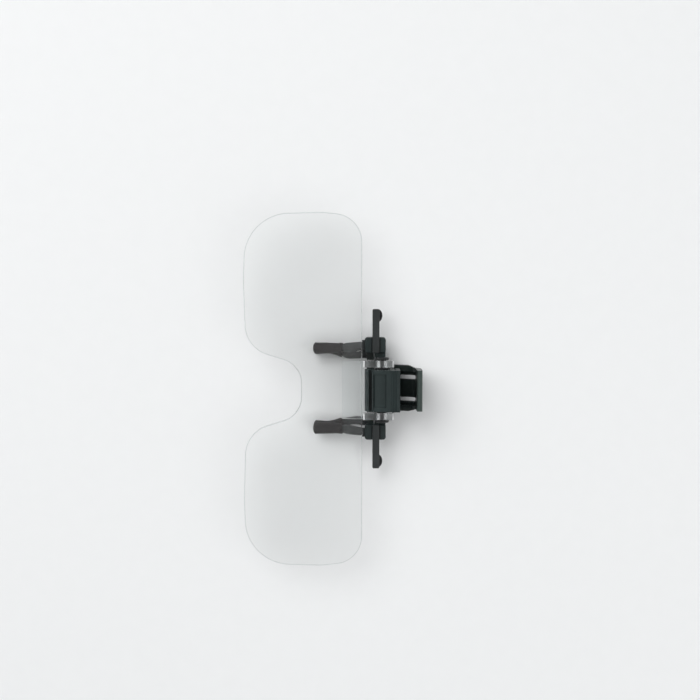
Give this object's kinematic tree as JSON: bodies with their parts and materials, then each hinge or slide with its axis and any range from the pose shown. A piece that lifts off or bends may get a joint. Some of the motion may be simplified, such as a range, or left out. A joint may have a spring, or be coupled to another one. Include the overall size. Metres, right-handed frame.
{
  "type": "clip-on magnifier",
  "caption": "Clear magnifying lens pair on a flip-up hinge, carried by a sprung clip with rubber-tipped legs that grips the top of a pair of spectacles.",
  "frame": {"origin": "middle of the underside, with the clip lying on its back and the lenses face up", "axes": "+X from the lenses up to the thumb shelf as the wearer has it, +Y along the lens pair, +Z out of the front, away from the wearer's face"},
  "size_m": [0.0628, 0.125, 0.0197],
  "materials": {
    "clear_lens": "polished",
    "clear_bracket": "gloss",
    "frame_plastic": "satin",
    "cover_plastic": "satin",
    "jaw_plastic": "satin",
    "rubber": "matte",
    "painted_steel": "satin",
    "pin_steel": "satin",
    "black_steel": "satin",
    "spring_steel": "satin"
  },
  "bodies": {
    "jaw_unit": {"rear_jaw": "jaw_plastic", "rear_leg_left": "painted_steel", "rear_leg_right": "painted_steel", "rear_tip_left": "rubber", "rear_tip_right": "rubber"},
    "clip_body": {"front_frame": "frame_plastic", "grip_cover": "cover_plastic", "hinge_pin": "black_steel", "friction_washer_left": "black_steel", "friction_washer_right": "black_steel", "side_arm_left": "painted_steel", "side_arm_right": "painted_steel", "arm_pad_left": "rubber", "arm_pad_right": "rubber", "front_leg_left": "painted_steel", "front_leg_right": "painted_steel", "front_tip_left": "rubber", "front_tip_right": "rubber", "jaw_pin": "pin_steel", "jaw_spring": "spring_steel"},
    "lens_unit": {"lens_pair": "clear_lens", "hinge_bracket": "clear_bracket"}
  },
  "joints": [
    {"name": "lens_flip", "type": "hinge", "parent": "clip_body", "child": "lens_unit", "pos_m": [0.01729, 0, 0.013], "axis": [0, 1, 0], "range_deg": [0, 90]},
    {"name": "jaw_squeeze", "type": "hinge", "parent": "jaw_unit", "child": "clip_body", "pos_m": [0.01679, 0, 0.0027], "axis": [0, 1, 0], "range_deg": [0, 18], "stiffness_Nm_per_rad": 0.02, "springref_deg": -20.05, "deforming": ["jaw_spring"]}
  ]
}
